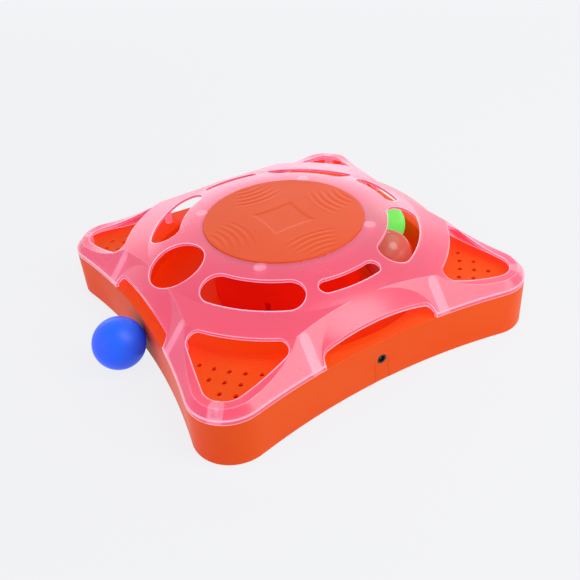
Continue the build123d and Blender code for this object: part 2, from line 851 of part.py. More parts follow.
def bottom_screws():
    seat = boss_bottom - screw_head_height / 2
    return group([Pos(x, y, seat) * screw(screw_length) for x, y in boss_places])


def cover_screws():
    seat = deck_under - cover_screw_pad
    length = cover_screw_pad + deck_thickness + short_screw_length - tip_room
    return group([Pos(x, y, seat) * screw(length) for x, y in tower_places])


save("bottom_plate", bottom_plate())
save("rubber_feet", rubber_feet())
save("bottom_screws", bottom_screws())
save("cover_screws", cover_screws())


# Battery door, its screw, two cells and their contacts
def battery_door():
    place = (door_screw_distance, 0)
    door = prism(door_outline(run_gap), plate_lift, plate_lift + door_thickness)
    door += rod(place, plate_lift, door_cup_top, door_tab_radius - run_gap)
    door -= rod(place, plate_lift, door_seat, screw_head_radius + fit_gap)
    door -= rod(place, plate_lift, door_cup_top, screw_bore)
    return turned(door, diagonal)


def door_screw():
    length = plate_top + door_boss_rise - bay_wall - door_seat - tip_room
    fixing = Pos(door_screw_distance, 0, door_seat) * screw(length)
    return turned(fixing, diagonal)


def cell_places():
    return [(side, side * (cell_radius + bay_gap / 2)) for side in (-1, 1)]


def aa_cells():
    cells = []
    for side, along in cell_places():
        can = Cylinder(cell_radius, cell_length, rotation=(quarter_turn, 0, 0))
        can = fillet(can.edges(), cell_nub_length / 2)
        nub = Cylinder(cell_nub_radius, cell_nub_length, rotation=(quarter_turn, 0, 0))
        nub = Pos(0, side * (cell_length + cell_nub_length) / 2, 0) * nub
        place = Pos(bay_middle + along, -side * cell_nub_length / 2, cell_height)
        cells.append(turned(place * (can + nub), diagonal))
    return group(cells)


def battery_contacts():
    """Flat plates at the nub ends and pressed dome springs at the flat ends."""
    contacts = []
    reach = contact_depth - contact_plate
    width = 2 * contact_half_width
    for side, along in cell_places():
        middle = Pos(bay_middle + along, 0, cell_height)
        for end in (-1, 1):
            face = end * (bay_length - contact_plate) / 2
            if end == side:
                bump = Cylinder(cell_nub_radius, reach)
            else:
                bump = Cone(contact_half_width, cell_nub_radius / 2, reach)
            bump = Pos(0, face - end * contact_depth / 2, 0) * Rotation(end * quarter_turn, 0, 0) * bump
            plate = Pos(0, face, 0) * Box(width, contact_plate, width)
            contacts.append(turned(middle * (plate + bump), diagonal))
    return group(contacts)


save("battery_door", battery_door())
save("door_screw", door_screw())
save("aa_cells", aa_cells())
save("battery_contacts", battery_contacts())


# Power socket: barrel in the wall, body behind it, and its centre pin
jack_front = -side_mid
jack_shoulder = jack_front + tongue_thickness + shaft_gap
jack_back = -(track_outer + jack_track_gap)
jack_middle = (jack_shoulder + jack_back) / 2
jack_bottom = jack_height - jack_body_height / 2


def dc_jack():
    body = slab((0, jack_middle), jack_bottom, jack_bottom + jack_body_height,
                jack_body_width, jack_back - jack_shoulder)
    barrel = Cylinder(jack_radius, jack_shoulder - jack_front, rotation=(quarter_turn, 0, 0))
    jack = body + Pos(0, (jack_front + jack_shoulder) / 2, jack_height) * barrel
    bore = Cylinder(jack_bore_radius, 2 * jack_bore_depth, rotation=(quarter_turn, 0, 0))
    return jack - Pos(0, jack_front, jack_height) * bore


def jack_pin():
    root = jack_front + jack_bore_depth
    pin = Cylinder(jack_pin_radius, jack_pin_length, rotation=(quarter_turn, 0, 0))
    pin = Pos(0, root - jack_pin_length / 2, jack_height) * pin
    return fillet(pin.edges().group_by(Axis.Y)[0], jack_pin_radius / 2)


save("dc_jack", dc_jack())
save("jack_pin", jack_pin())


# Circuit board on its standoffs, with its parts and the slide switch beneath
def circuit_board():
    board = slab((board_distance, 0), board_lift, board_top, board_length, board_width)
    return turned(board, board_bearing)


def board_parts():
    chip = slab((board_distance, -part_spread), board_top, board_top + chip_height, chip_size, chip_size)
    can_place = (board_distance + part_spread, part_spread)
    capacitor = rod(can_place, board_top, board_top + capacitor_height, capacitor_radius)
    capacitor = fillet(capacitor.edges().group_by(Axis.Z)[-1], capacitor_radius / 5)
    header_middle = board_distance - board_length / 2 + header_depth
    header = slab((header_middle, part_spread), board_top, board_top + header_height,
                  header_depth, header_length)
    return group([turned(shape, board_bearing) for shape in (chip, capacitor, header)])


def switch_body():
    bottom = plate_top + run_gap
    middle = (board_distance, slider_travel / 2)
    body = slab(middle, bottom, board_lift, switch_width, switch_length)
    ceiling = board_lift - slider_plate_thickness
    width = slider_width + 2 * run_gap
    travel = slider_travel + 2 * run_gap
    body -= slab(middle, bottom + slider_plate_thickness, ceiling, width + slider_plate_thickness,
                 slider_plate_length + travel)
    body -= slab(middle, bottom, ceiling, width, slider_length + travel)
    return turned(body, board_bearing)


def switch_slider():
    bottom = plate_top + run_gap + slider_plate_thickness + run_gap
    knob = slab((board_distance, 0), slider_floor_gap, bottom, slider_width, slider_length)
    knob += slab((board_distance, 0), bottom, bottom + slider_plate_thickness / 2,
                 slider_width + slider_plate_thickness, slider_plate_length)
    return turned(knob, board_bearing)


save("circuit_board", circuit_board())
save("board_parts", board_parts())
save("switch_body", switch_body())
save("switch_slider", switch_slider())


# Leads: two wires side by side from each device to the board's header
header_face = board_distance - board_length / 2 + header_depth / 2
header_spread = header_length / 3
header_level = board_top + header_height / 2
lead_level = (plate_top + floor_under) / 2
lead_reach = 3 * lead_bend
battery_exit = turned(Pos(bay_start, -2 * door_tab_radius, 0), diagonal).position

# A route's points are place, height, and the bearing in which the two wires stand apart
jack_route = [
    (0, jack_middle, jack_bottom, 90), (0, jack_middle, lead_level, 90),
    (40.0, -112.0, lead_level, 80),
]
motor_route = [
    (motor_x, motor_y, terminal_level, 45), (motor_x, motor_y, lead_level, 45),
    (50.0, -36.0, lead_level, 45),
]
battery_route = [
    (battery_exit.X, battery_exit.Y, lead_level, -45), (87.0, 70.0, lead_level, -35),
    (95.0, 22.0, lead_level, 0), (98.0, -34.0, lead_level, 10),
]


def header_end(across):
    """Last three points of a route: up to the header's level, then straight into its face."""
    ends = [(header_face - 2 * lead_reach, lead_level), (header_face - lead_reach, header_level),
            (header_face, header_level)]
    spots = [(turned(Pos(along, across, 0), board_bearing).position, level) for along, level in ends]
    return [(spot.X, spot.Y, level, diagonal) for spot, level in spots]


def lead_pair(route):
    wires = []
    for side in (-1, 1):
        points = []
        for x, y, z, bearing in route:
            shift = polar(side * lead_pair_gap / 2, bearing)
            points.append((x + shift[0], y + shift[1], z))
        path = FilletPolyline(*points, radius=lead_bend)
        start = Plane(origin=path @ 0, z_dir=path % 0)
        wires.append(sweep(start * Circle(lead_radius), path))
    return group(wires)


save("jack_leads", lead_pair(jack_route + header_end(part_spread - header_spread)))
save("motor_leads", lead_pair(motor_route + header_end(part_spread)))
save("battery_leads", lead_pair(battery_route + header_end(part_spread + header_spread)))


# Play balls: one on the floor against the left wall, two in the track
def ball(x, y, height):
    return Pos(x, y, height + run_gap + ball_radius) * Sphere(ball_radius)


save("ball_blue", ball(-(side_mid + ball_radius + run_gap), 0, 0))
green_ball_distance = track_radius - ball_radius - green_ball_wall_gap
pink_ball_distance = drum_radius + ball_radius + pink_ball_drum_gap
save("ball_green", ball(*polar(green_ball_distance, green_ball_bearing), track_floor))
save("ball_pink", ball(*polar(pink_ball_distance, pink_ball_bearing), track_floor))
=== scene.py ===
import math

import bpy
from mathutils import Matrix, Vector


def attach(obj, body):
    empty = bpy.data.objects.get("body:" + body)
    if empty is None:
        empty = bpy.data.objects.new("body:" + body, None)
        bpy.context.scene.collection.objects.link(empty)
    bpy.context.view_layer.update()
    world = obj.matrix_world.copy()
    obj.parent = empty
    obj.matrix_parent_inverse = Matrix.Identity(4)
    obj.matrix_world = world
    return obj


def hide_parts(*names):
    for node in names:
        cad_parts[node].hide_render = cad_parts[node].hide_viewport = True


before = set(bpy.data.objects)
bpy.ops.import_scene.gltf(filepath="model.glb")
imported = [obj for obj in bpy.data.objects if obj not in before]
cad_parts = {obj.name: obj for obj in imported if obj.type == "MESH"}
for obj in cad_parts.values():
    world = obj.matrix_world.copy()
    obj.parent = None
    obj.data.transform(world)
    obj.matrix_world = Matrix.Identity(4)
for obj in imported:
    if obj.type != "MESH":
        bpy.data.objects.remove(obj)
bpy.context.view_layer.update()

# Tray and track pan: the orange body of the toy, moulded in opaque plastic with a satin skin.
# The wall and pierced corner decks are one moulding; the ball channel is welded in below them.
MM = 0.001
TRAY_ORANGE = (0.93, 0.112, 0.012, 1.0)
TRAY_DEEP = (0.92, 0.102, 0.010, 1.0)
# The paler edge orange is a painted highlight on the tray's rounded edges.
TRAY_EDGE_HIGHLIGHT = (0.93, 0.16, 0.030, 1.0)
# The pan's red is the tray's orange painted darker, painted shade for the channel under the
# cover; its edges in the tray's orange are a painted highlight.
PAN_SHADED_RED = (0.66, 0.098, 0.005, 1.0)
PAN_SHADED_DEEP = (0.65, 0.090, 0.004, 1.0)
SHEEN = 0.10
EDGE_TURN = (0.96, 0.84)
BLOTCH_SPAN = (0.32, 0.68)
GLOSS_SPAN = (0.3, 0.7)
HOLLOW_SPAN = (0.75, 0.35)
HOLLOW_REACH = 4.0 * MM
GRAIN_DEPTH = 0.1 * MM
SKIN_SAMPLES = 8


def place(tree, kind, inputs=(), **settings):
    """Adds a node, sets its properties, then sets or links its inputs by name or number."""
    node = tree.nodes.new("ShaderNode" + kind)
    for key, value in settings.items():
        setattr(node, key, value)
    for key, value in dict(inputs).items():
        if isinstance(value, bpy.types.NodeSocket):
            tree.links.new(value, node.inputs[key])
        else:
            node.inputs[key].default_value = value
    return node


def blend(tree, share, first, second):
    """Mixes two colours; share 0 gives the first."""
    node = place(tree, "Mix", {0: share, 6: first, 7: second}, data_type="RGBA")
    return node.outputs[2]


def remap(tree, value, low, high, start, end):
    """Maps a value from one range to another, held at the ends."""
    node = place(tree, "MapRange", {"Value": value, "From Min": low, "From Max": high,
                                    "To Min": start, "To Max": end})
    return node.outputs["Result"]


def new_group(name, inputs, outputs):
    """Makes a shader group with named sockets; gives its tree, inputs and outputs."""
    tree = bpy.data.node_groups.new(name, "ShaderNodeTree")
    for socket, (kind, value) in inputs.items():
        made = tree.interface.new_socket(socket, in_out="INPUT", socket_type="NodeSocket" + kind)
        made.default_value = value
    for socket, kind in outputs.items():
        tree.interface.new_socket(socket, in_out="OUTPUT", socket_type="NodeSocket" + kind)
    entry = tree.nodes.new("NodeGroupInput")
    leave = tree.nodes.new("NodeGroupOutput")
    return tree, entry.outputs, leave.inputs


def moulded_skin_group():
    """Moulded plastic: slow blotches of colour and gloss, fine grain, and painted light: an Edge
    Colour on rounded edges (a painted highlight where paler, painted shade where darker) and a
    painted Glow on the body, the edges and the hollows.
    """
    white, black = (1.0, 1.0, 1.0, 1.0), (0.0, 0.0, 0.0, 1.0)
    tree, given, made = new_group(
        "moulded_skin",
        {"Colour": ("Color", white), "Deep Colour": ("Color", white),
         "Edge Colour": ("Color", white), "Edge Width": ("Float", 0.0008),
         "Corner Radius": ("Float", 0.0008), "Blotch Scale": ("Float", 18.0),
         "Grain Scale": ("Float", 2600.0), "Rough Low": ("Float", 0.35),
         "Rough High": ("Float", 0.45), "Body Glow": ("Color", black),
         "Edge Glow": ("Color", black), "Hollow Glow": ("Color", black)},
        {"Colour": "Color", "Glow": "Color", "Roughness": "Float", "Height": "Float",
         "Normal": "Vector"})
    spot = place(tree, "TexCoord").outputs["Object"]
    blotch = place(tree, "TexNoise", {"Vector": spot, "Scale": given["Blotch Scale"],
                                      "Detail": 3.0}).outputs["Fac"]
    grain = place(tree, "TexNoise", {"Vector": spot, "Scale": given["Grain Scale"],
                                     "Detail": 2.0}).outputs["Fac"]
    near, wide = [place(tree, "Bevel", {"Radius": given[width]}, samples=SKIN_SAMPLES).outputs[0]
                  for width in ("Edge Width", "Corner Radius")]
    flat = place(tree, "NewGeometry").outputs["Normal"]
    facing = place(tree, "VectorMath", {0: near, 1: flat}, operation="DOT_PRODUCT")
    edge = remap(tree, facing.outputs["Value"], *EDGE_TURN, 0.0, 1.0)
    body = blend(tree, remap(tree, blotch, *BLOTCH_SPAN, 0.0, 1.0), given["Colour"],
                 given["Deep Colour"])
    # Painted light: hollows found by occlusion take the Hollow Glow, a painted glow.
    open_share = place(tree, "AmbientOcclusion", {"Distance": HOLLOW_REACH}, only_local=True,
                       samples=SKIN_SAMPLES)
    hollow = remap(tree, open_share.outputs["AO"], *HOLLOW_SPAN, 0.0, 1.0)
    glow = blend(tree, edge, given["Body Glow"], given["Edge Glow"])
    tree.links.new(blend(tree, edge, body, given["Edge Colour"]), made["Colour"])
    tree.links.new(blend(tree, hollow, glow, given["Hollow Glow"]), made["Glow"])
    tree.links.new(remap(tree, blotch, *GLOSS_SPAN, given["Rough Low"], given["Rough High"]),
                   made["Roughness"])
    tree.links.new(grain, made["Height"])
    tree.links.new(wide, made["Normal"])
    return tree


MOULDED_SKIN = moulded_skin_group()


def moulded(name, colour, deep, edge, rough=(0.35, 0.45), blotch=18.0, grain=2600.0,
            radius=0.8 * MM, corner=None, relief=0.06, glow=None, **constants):
    """A material on the shared skin; the edges' colour is as wide as radius.

    The edges' colour is painted light: a painted highlight where paler, painted shade where
    darker. Corner is the rounding if it differs, glow a painted glow on the body, edges and
    hollows, and constants go on the shader.
    """
    material = bpy.data.materials.new(name)
    material.use_nodes = True
    tree = material.node_tree
    shader = tree.nodes["Principled BSDF"]
    skin = place(tree, "Group", {"Colour": colour, "Deep Colour": deep, "Edge Colour": edge,
                                 "Edge Width": radius, "Corner Radius": corner or radius,
                                 "Blotch Scale": blotch, "Grain Scale": grain,
                                 "Rough Low": rough[0], "Rough High": rough[1]},
                 node_tree=MOULDED_SKIN)
    bump = place(tree, "Bump", {"Height": skin.outputs["Height"], "Strength": relief,
                                "Distance": GRAIN_DEPTH, "Normal": skin.outputs["Normal"]})
    tree.links.new(skin.outputs["Colour"], shader.inputs["Base Color"])
    tree.links.new(skin.outputs["Roughness"], shader.inputs["Roughness"])
    tree.links.new(bump.outputs["Normal"], shader.inputs["Normal"])
    if glow:
        for socket, value in zip(("Body Glow", "Edge Glow", "Hollow Glow"), glow):
            skin.inputs[socket].default_value = value
        tree.links.new(skin.outputs["Glow"], shader.inputs["Emission Color"])
        shader.inputs["Emission Strength"].default_value = 1.0
    for socket, value in constants.items():
        shader.inputs[socket.replace("_", " ")].default_value = value
    return material


def give(material, *nodes):
    """Puts a material on every slot of the named pieces."""
    for node in nodes:
        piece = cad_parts[node]
        if not piece.material_slots:
            piece.data.materials.append(material)
        for slot in piece.material_slots:
            slot.material = material


# In each material below the edge colour is painted light on rounded edges: a painted highlight
# where paler than the body, painted shade where darker.
NO_GLOW = (0.0, 0.0, 0.0, 1.0)
# A painted red glow in the tray's holes and hollows, where no lamp shines.
HOLLOW_PAINTED_GLOW = (0.50, 0.004, 0.0, 1.0)
give(moulded("tray_plastic", TRAY_ORANGE, TRAY_DEEP, TRAY_EDGE_HIGHLIGHT, rough=(0.36, 0.46),
             glow=(NO_GLOW, NO_GLOW, HOLLOW_PAINTED_GLOW), Specular_IOR_Level=SHEEN), "base_housing")
# A painted red glow over the pan and the drum that lifts their shaded channel, though they are no
# lamp.
PAN_PAINTED_GLOW = (0.24, 0.0, 0.0, 1.0)
give(moulded("pan_plastic", PAN_SHADED_RED, PAN_SHADED_DEEP, TRAY_ORANGE, rough=(0.4, 0.52),
             Specular_IOR_Level=SHEEN, Emission_Color=PAN_PAINTED_GLOW, Emission_Strength=1.0),
     "track_pan")

# Bottom plate and battery door: the closing mouldings in the tray's orange, coarser underneath.
# The plate is screwed up into the tray, and its tongue fills the cut below the power socket.
give(moulded("plate_plastic", TRAY_ORANGE, TRAY_DEEP, TRAY_EDGE_HIGHLIGHT, rough=(0.45, 0.58),
             grain=1500.0, relief=0.12, Specular_IOR_Level=SHEEN),
     "bottom_plate", "battery_door")

# Rubber feet: round pads of soft dark grey rubber, dull from the mould.
# They are pressed into the bottom plate and keep the toy from sliding on a hard floor.
give(moulded("foot_rubber", colour=(0.035, 0.034, 0.034, 1.0), deep=(0.022, 0.021, 0.021, 1.0),
             edge=(0.06, 0.058, 0.058, 1.0), rough=(0.78, 0.9), grain=900.0, relief=0.3),
     "rubber_feet")

# Screws, spindle, shaft, contacts and clip: steel, turned, rolled or stamped, then plated.
# The screws hold the mouldings together; the spindle, post and shaft carry what turns.
give(moulded("plated_steel", colour=(0.62, 0.61, 0.59, 1.0), deep=(0.46, 0.45, 0.43, 1.0),
             edge=(0.75, 0.74, 0.72, 1.0), rough=(0.22, 0.34), blotch=90.0, grain=5200.0,
             radius=0.3 * MM, relief=0.15, Metallic=1.0),
     "spindle", "retaining_clip", "gear_post", "motor_shaft", "battery_contacts",
     "plate_screws", "bottom_screws", "cover_screws", "paddle_screws", "door_screw",
     "thrust_washer")

# Gear train: natural nylon gears, milky and slightly waxy, run dry on steel.
# The gearbox plate under them is moulded in light grey and screwed to posts on the track pan.
give(moulded("gear_nylon", colour=(0.76, 0.74, 0.67, 1.0), deep=(0.68, 0.65, 0.57, 1.0),
             edge=(0.85, 0.84, 0.79, 1.0), rough=(0.38, 0.5), blotch=60.0, radius=0.25 * MM,
             Subsurface_Weight=0.15, Subsurface_Scale=1.5 * MM),
     "drive_gear", "compound_gear", "motor_pinion")
give(moulded("grey_plastic", colour=(0.30, 0.30, 0.31, 1.0), deep=(0.24, 0.24, 0.25, 1.0),
             edge=(0.42, 0.42, 0.43, 1.0), rough=(0.45, 0.6)),
     "gearbox_plate", "motor_end_cap")

# Drive motor: a drawn steel can, zinc plated, with the dull grey end cap pressed into it.
# It hangs under the gearbox plate and turns the small pinion.
give(moulded("motor_can", colour=(0.55, 0.55, 0.54, 1.0), deep=(0.42, 0.42, 0.41, 1.0),
             edge=(0.68, 0.68, 0.67, 1.0), rough=(0.3, 0.42), blotch=45.0, grain=3800.0,
             relief=0.1, Metallic=1.0),
     "drive_motor")

# Circuit board: green lacquer over glass fibre, on standoffs in the right corner.
# Its parts, the slide switch under it and the power socket are black moulded packages.
give(moulded("board_lacquer", colour=(0.012, 0.11, 0.035, 1.0), deep=(0.008, 0.075, 0.024, 1.0),
             edge=(0.16, 0.20, 0.09, 1.0), rough=(0.28, 0.4), blotch=120.0, radius=0.2 * MM),
     "circuit_board")
give(moulded("black_plastic", colour=(0.018, 0.018, 0.019, 1.0), deep=(0.012, 0.012, 0.012, 1.0),
             edge=(0.05, 0.05, 0.052, 1.0), rough=(0.35, 0.5), radius=0.3 * MM),
     "board_parts", "dc_jack", "switch_body", "switch_slider", "jack_pin")

# Cells and leads: two shrink-wrapped cells lie in the bay in the back corner.
# Pairs of soft insulated wires run from the cells, the socket and the motor to the board.
give(moulded("cell_wrap", colour=(0.10, 0.12, 0.16, 1.0), deep=(0.07, 0.085, 0.12, 1.0),
             edge=(0.25, 0.27, 0.31, 1.0), rough=(0.25, 0.35), radius=0.4 * MM),
     "aa_cells")
give(moulded("lead_sheath", colour=(0.35, 0.02, 0.02, 1.0), deep=(0.27, 0.014, 0.014, 1.0),
             edge=(0.45, 0.05, 0.05, 1.0), rough=(0.42, 0.55), blotch=150.0),
     "jack_leads", "motor_leads", "battery_leads")

# Drum and sweeper: the turning middle of the track, moulded in the tray's orange.
# The drum drops over the spindle onto its gear, and the sweeper is screwed to its side.
# Their red is the tray's orange painted darker as painted shade, and their paler edge colour is a
# painted highlight.
give(moulded("drum_plastic", colour=(0.53, 0.022, 0.002, 1.0), deep=(0.52, 0.019, 0.002, 1.0),
             edge=PAN_SHADED_RED, rough=(0.36, 0.46), Specular_IOR_Level=SHEEN,
             Emission_Color=PAN_PAINTED_GLOW, Emission_Strength=1.0),
     "rotor_drum", "sweeper_paddle")

# Cover: one thin pink moulding, frosted inside and out, so what lies behind shows as soft colour.
# Every cut edge and the lip carry painted light: a milky paler colour and a painted glow. Screws
# hold it from below.
COVER_PINK = (0.86, 0.165, 0.30, 1.0)
COVER_DEEP = (0.85, 0.150, 0.27, 1.0)
# A pale colour painted on the cover's edges and over its posts, a painted highlight, with a
# painted glow on the edges.
COVER_PAINTED_PALE = (0.88, 0.66, 0.80, 1.0)
# A faint painted glow over the whole cover, though it is no lamp.
COVER_PAINTED_GLOW = (0.07, 0.004, 0.016, 1.0)
RIM_PAINTED_GLOW = (0.44, 0.40, 0.48, 1.0)
POST_PAINTED_GLOW = (0.30, 0.24, 0.28, 1.0)
POST_PAINT_SHARE = 0.30
POST_SOFT = 1.2 * MM
SEAT_RADIUS = 71.0 * MM
SHADOW_TINT = (0.88, 0.62, 0.60, 1.0)
LEG_POST = (127.3, 59.1, 3.6, 16.0)
CORNER_POST = (137.5, 137.5, 4.8, 8.0)
RING_POST = (52.7, 52.7, 4.5, 0.0)


def cover_zones_group():
    """Marks the posts inside the cover, where its wall gets painted pale strips and painted glow,
    and the disc's seat, where the cover's painted edge light is left off.

    The four corners fold onto one eighth of the plan, where each post is a short strip outwards.
    """
    tree, given, made = new_group("cover_zones", {"Softness": ("Float", 0.001),
                                                  "Show": ("Float", 0.3),
                                                  "Seat Radius": ("Float", 0.07)},
                                  {"Posts": "Float", "Seat": "Float"})

    def math_of(kind, first, second=0.0):
        return place(tree, "Math", {0: first, 1: second}, operation=kind).outputs[0]

    spot = place(tree, "SeparateXYZ", {0: place(tree, "TexCoord").outputs["Object"]})
    across, along = [math_of("ABSOLUTE", spot.outputs[axis]) for axis in "XY"]
    far, near = math_of("MAXIMUM", across, along), math_of("MINIMUM", across, along)
    middle = math_of("MULTIPLY", math_of("ADD", far, near), 0.5)
    folded = place(tree, "CombineXYZ", {"X": far, "Y": near}).outputs[0]
    posts = 0.0
    for x, y, radius, run in (LEG_POST, CORNER_POST, RING_POST):
        reach = far if x > y else middle
        held = math_of("MAXIMUM", math_of("MINIMUM", reach, (x + run) * MM), x * MM)
        strip = place(tree, "CombineXYZ", {"X": held, "Y": y * MM if x > y else held}).outputs[0]
        gap = place(tree, "VectorMath", {0: folded, 1: strip}, operation="DISTANCE")
        edge = math_of("ADD", given["Softness"], radius * MM)
        posts = math_of("MAXIMUM", posts,
                        remap(tree, gap.outputs["Value"], edge, radius * MM, 0.0, 1.0))
    reach = place(tree, "VectorMath", {0: folded}, operation="LENGTH").outputs["Value"]
    outside = math_of("ADD", given["Seat Radius"], given["Softness"])
    tree.links.new(math_of("MULTIPLY", posts, given["Show"]), made["Posts"])
    tree.links.new(remap(tree, reach, outside, given["Seat Radius"], 0.0, 1.0), made["Seat"])
    return tree


cover_material = moulded("cover_frosted", COVER_PINK, COVER_DEEP, COVER_PAINTED_PALE, rough=(0.26, 0.32),
                         blotch=14.0, grain=1800.0, radius=2.2 * MM, corner=1.2 * MM,
                         relief=0.03, glow=(COVER_PAINTED_GLOW, RIM_PAINTED_GLOW, COVER_PAINTED_GLOW),
                         Transmission_Weight=0.68, IOR=1.5, Coat_Weight=0.5,
                         Coat_Roughness=0.2)
tree = cover_material.node_tree
shader = tree.nodes["Principled BSDF"]
skin = tree.nodes["Group"].outputs
zones = place(tree, "Group", {"Softness": POST_SOFT, "Show": POST_PAINT_SHARE,
                              "Seat Radius": SEAT_RADIUS},
              node_tree=cover_zones_group()).outputs
# Painted light: at the disc's seat the cover keeps its body colour and glow without the painted
# edge highlight, and over the posts it takes pale paint and painted glow.
colour = blend(tree, zones["Seat"], skin["Colour"], COVER_DEEP)
glow = blend(tree, zones["Seat"], skin["Glow"], COVER_PAINTED_GLOW)
tree.links.new(blend(tree, zones["Posts"], colour, COVER_PAINTED_PALE), shader.inputs["Base Color"])
tree.links.new(blend(tree, zones["Posts"], glow, POST_PAINTED_GLOW), shader.inputs["Emission Color"])
tinted = place(tree, "BsdfTransparent", {"Color": SHADOW_TINT})
shadow = place(tree, "LightPath").outputs["Is Shadow Ray"]
lit = place(tree, "MixShader", {0: shadow, 1: shader.outputs["BSDF"], 2: tinted.outputs["BSDF"]})
tree.links.new(lit.outputs["Shader"], tree.nodes["Material Output"].inputs["Surface"])
give(cover_material, "top_cover")

# Centre disc: an opaque orange cap with four fans of soft ripples and a shallow bowed square.
# Moulded in one piece with four snap legs, it is pressed into the seat in the cover's ring.
DISC_RADIUS = 69.2
DISC_FACE = 82.9
DISC_SEAT = 80.2
DISC_ROUND = 0.8
ROUND_STEPS = 5
DISC_CREASE = 35.0
DISC_RINGS = 72
DISC_SPOKES = 240
RIPPLE_CENTRE = 92.0
RIPPLE_RADIUS = 58.0
RIPPLE_PITCH = 6.4
RIPPLE_HEIGHT = 0.22
RIPPLE_SPREAD = 0.52
RIPPLE_FADE = 5.0
SQUARE_HALF = 17.4
SQUARE_BOW = 1.3
SQUARE_DEPTH = 0.4
SQUARE_SLOPE = 2.4
LEG_PROFILE = ((59.55, 80.6), (61.75, 80.6), (61.75, 77.4), (62.95, 77.4), (61.75, 75.6),
               (59.55, 75.6))
LEGS = 4
LEG_HALF_TURN = 0.158
LEG_STEPS = 8


def soft_step(value, low, high):
    """Rises smoothly from 0 at low to 1 at high."""
    share = min(max((value - low) / (high - low), 0.0), 1.0)
    return share * share * (3.0 - 2.0 * share)


def disc_height(x, y):
    """Height of the disc's face: ripples round a point beyond each side, less the square."""
    far, near = max(abs(x), abs(y)), min(abs(x), abs(y))
    past = RIPPLE_RADIUS - math.hypot(RIPPLE_CENTRE - far, near)
    turn = math.atan2(near, RIPPLE_CENTRE - far)
    fan = soft_step(past, -RIPPLE_PITCH / 2, RIPPLE_PITCH / 2)
    fan *= 1.0 - soft_step(turn, RIPPLE_SPREAD / 2, RIPPLE_SPREAD)
    fan *= 1.0 - soft_step(math.hypot(x, y), DISC_RADIUS - RIPPLE_FADE,
                           DISC_RADIUS - DISC_ROUND)
    wave = math.cos(math.tau * past / RIPPLE_PITCH)
    side = SQUARE_HALF + SQUARE_BOW * (near / SQUARE_HALF) ** 2
    sunk = soft_step(side - far, -SQUARE_SLOPE / 2, SQUARE_SLOPE / 2)
    return DISC_FACE + RIPPLE_HEIGHT * fan * wave - SQUARE_DEPTH * sunk


def ring_of(reach, height):
    """A ring of points; without a height they lie on the disc's face."""
    flat = [(reach * math.cos(math.tau * i / DISC_SPOKES),
             reach * math.sin(math.tau * i / DISC_SPOKES)) for i in range(DISC_SPOKES)]
    return [(x, y, disc_height(x, y) if height is None else height) for x, y in flat]


inner_reach = DISC_RADIUS - DISC_ROUND
rings = [ring_of(inner_reach * (i + 1) / DISC_RINGS, None) for i in range(DISC_RINGS)]
for i in range(1, ROUND_STEPS + 1):
    bend = math.radians(90.0 * i / ROUND_STEPS)
    rings.append(ring_of(inner_reach + DISC_ROUND * math.sin(bend),
                         DISC_FACE - DISC_ROUND * (1.0 - math.cos(bend))))
rings.append(ring_of(DISC_RADIUS, DISC_SEAT))
points = [(0.0, 0.0, disc_height(0.0, 0.0))] + [point for ring in rings for point in ring]
under = len(points)
points.append((0.0, 0.0, DISC_SEAT))
faces = []
last = len(rings) - 1
for i in range(DISC_SPOKES):
    j = (i + 1) % DISC_SPOKES
    faces.append((0, 1 + i, 1 + j))
    faces.append((under, 1 + last * DISC_SPOKES + j, 1 + last * DISC_SPOKES + i))
    for ring in range(last):
        row, next_row = 1 + ring * DISC_SPOKES, 1 + (ring + 1) * DISC_SPOKES
        faces.append((row + i, next_row + i, next_row + j, row + j))
for leg in range(LEGS):
    first = len(points)
    corners = len(LEG_PROFILE)
    for step in range(LEG_STEPS + 1):
        turn = math.tau * leg / LEGS + LEG_HALF_TURN * (2.0 * step / LEG_STEPS - 1.0)
        points += [(reach * math.cos(turn), reach * math.sin(turn), height)
                   for reach, height in LEG_PROFILE]
    faces.append(tuple(first + k for k in range(corners)))
    faces.append(tuple(first + LEG_STEPS * corners + k for k in reversed(range(corners))))
    for step in range(LEG_STEPS):
        row, next_row = first + step * corners, first + (step + 1) * corners
        faces += [(row + k, next_row + k, next_row + (k + 1) % corners, row + (k + 1) % corners)
                  for k in range(corners)]
disc_mesh = bpy.data.meshes.new("disc_cap")
disc_mesh.from_pydata([Vector(point) * MM for point in points], [], faces)
disc_mesh.shade_smooth()
disc_mesh.set_sharp_from_angle(angle=math.radians(DISC_CREASE))
# The disc's darker red edge colour is painted shade on its rim.
disc_mesh.materials.append(moulded(
    "disc_plastic", colour=(0.82, 0.090, 0.004, 1.0), deep=(0.81, 0.083, 0.003, 1.0),
    edge=(0.80, 0.050, 0.004, 1.0), rough=(0.40, 0.5), radius=1.2 * MM, Specular_IOR_Level=0.25))
disc = bpy.data.objects.new("disc_cap", disc_mesh)
scene = bpy.context.scene
scene.collection.objects.link(disc)
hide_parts("centre_disc")
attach(disc, "base")

